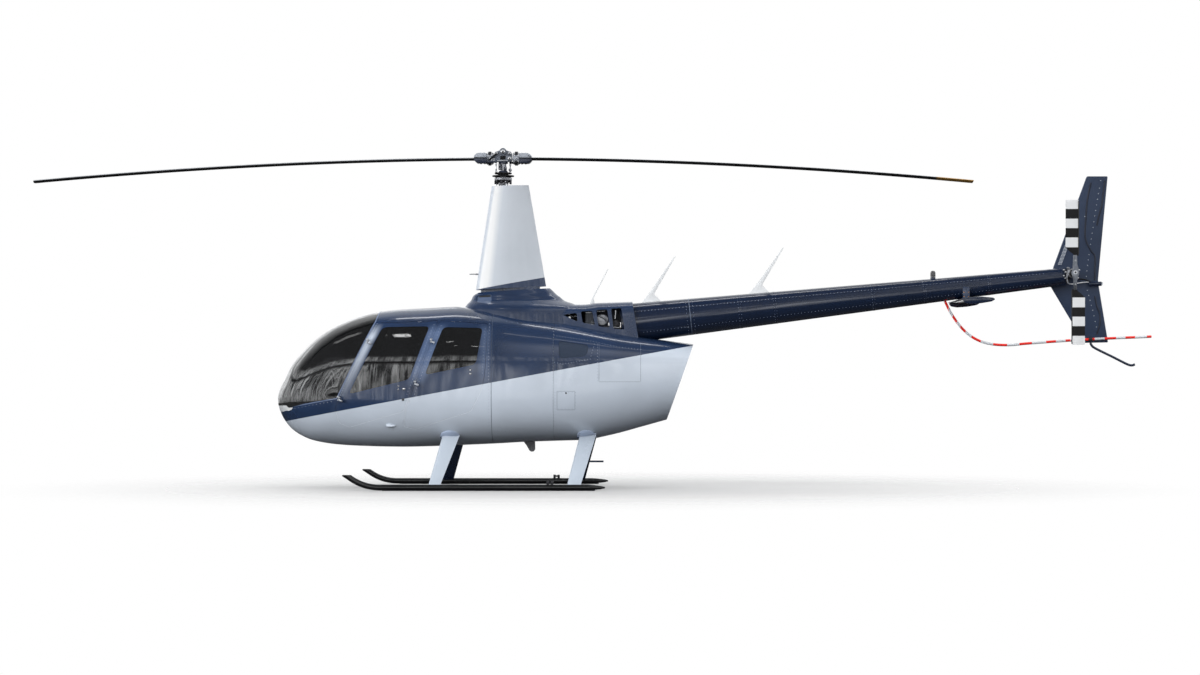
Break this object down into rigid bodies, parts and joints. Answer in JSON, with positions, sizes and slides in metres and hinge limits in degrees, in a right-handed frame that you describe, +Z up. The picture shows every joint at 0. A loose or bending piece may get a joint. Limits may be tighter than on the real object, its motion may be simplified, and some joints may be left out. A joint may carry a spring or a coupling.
{
  "type": "light turbine helicopter on skids",
  "caption": "Light single-turbine cabin helicopter on skids with a two-blade teetering rotor on a tall mast fairing, a long round tail boom and a tail rotor.",
  "frame": {"origin": "on the ground midway between the front blade tip and the end of the tail guard, and midway between the skids", "axes": "+X towards the tail, the nose at -X; +Y towards the helicopter's right side; +Z up from the ground"},
  "size_m": [11.766, 2.32, 3.566],
  "materials": {
    "navy_paint": "gloss navy paint",
    "silver_paint": "gloss light silver-blue paint",
    "white_paint": "satin white-silver paint",
    "black_paint": "satin black paint",
    "red_paint": "gloss red paint",
    "glazing": "dark tinted and glossy",
    "bare_metal": "machined",
    "dark_metal": "dark anodised",
    "trim": "dark woven and stitched"
  },
  "bodies": {
    "airframe": {"cabin_shell": "navy_paint", "belly_pan": "silver_paint", "roof_panel": "navy_paint", "landing_light_lens": "glazing", "windshield_left": "glazing", "windshield_right": "glazing", "cabin_floor": "black_paint", "mid_fuselage": "navy_paint", "engine_cowl": "silver_paint", "cowl_grille_left": "dark_metal", "cowl_grille_right": "dark_metal", "aft_panel": "silver_paint", "exhaust_pipe": "dark_metal", "engine_on_deck": "bare_metal", "mast_base_fairing": "navy_paint", "spine_fairing": "navy_paint", "gearbox_and_tower": "dark_metal", "mast_fairing": "white_paint", "oil_cooler": "dark_metal", "swashplate_lower": "bare_metal", "tail_boom": "navy_paint", "tail_gearbox": "dark_metal", "tail_fin": "navy_paint", "tail_guard": "red_paint", "tail_skid": "navy_paint", "stabiliser": "navy_paint", "tail_light": "navy_paint", "beacon": "red_paint", "aerial_1": "white_paint", "aerial_2": "white_paint", "aerial_3": "white_paint", "belly_aerial": "dark_metal", "skid_left": "black_paint", "skid_right": "black_paint", "strut_front_left": "silver_paint", "strut_rear_left": "silver_paint", "strut_front_right": "silver_paint", "strut_rear_right": "silver_paint", "seat_front_left": "trim", "seat_front_right": "trim", "seat_rear": "trim", "instrument_console": "black_paint"},
    "front_left_door": {"door_front_left": "navy_paint", "window_front_left": "glazing"},
    "rear_left_door": {"door_rear_left": "navy_paint", "window_rear_left": "glazing"},
    "front_right_door": {"door_front_right": "navy_paint", "window_front_right": "glazing"},
    "rear_right_door": {"door_rear_right": "navy_paint", "window_rear_right": "glazing"},
    "main_rotor": {"rotor_mast": "bare_metal", "rotor_hub": "bare_metal", "blade_grip_fore": "bare_metal", "rotor_blade_fore": "black_paint", "blade_grip_aft": "bare_metal", "rotor_blade_aft": "black_paint", "swashplate_upper": "black_paint"},
    "tail_rotor": {"tail_rotor_hub": "bare_metal", "tail_blade_upper": "white_paint", "tail_blade_lower": "white_paint"}
  },
  "joints": [
    {"name": "main_rotor_spin", "type": "hinge", "parent": "airframe", "child": "main_rotor", "pos_m": [-0.948, 0, 3.43], "axis": [0, 0, 1], "continuous": true},
    {"name": "tail_rotor_spin", "type": "hinge", "parent": "airframe", "child": "tail_rotor", "pos_m": [5.033, -0.3, 2.251], "axis": [0, 1, 0], "continuous": true},
    {"name": "front_left_door_hinge", "type": "hinge", "parent": "airframe", "child": "front_left_door", "pos_m": [-2.3159, -0.6284, 1.529], "axis": [-0.4464, -0.0439, -0.8938], "range_deg": [0, 80]},
    {"name": "rear_left_door_hinge", "type": "hinge", "parent": "airframe", "child": "rear_left_door", "pos_m": [-1.659, -0.6811, 1.536], "axis": [-0.336, -0.1789, -0.9247], "range_deg": [0, 80]},
    {"name": "front_right_door_hinge", "type": "hinge", "parent": "airframe", "child": "front_right_door", "pos_m": [-2.3159, 0.6284, 1.529], "axis": [0.4464, -0.0439, 0.8938], "range_deg": [0, 80]},
    {"name": "rear_right_door_hinge", "type": "hinge", "parent": "airframe", "child": "rear_right_door", "pos_m": [-1.659, 0.6811, 1.536], "axis": [0.336, -0.1789, 0.9247], "range_deg": [0, 80]}
  ],
  "couplings": [
    {"joint": "tail_rotor_spin", "follows": "main_rotor_spin", "ratio": 5.946}
  ]
}
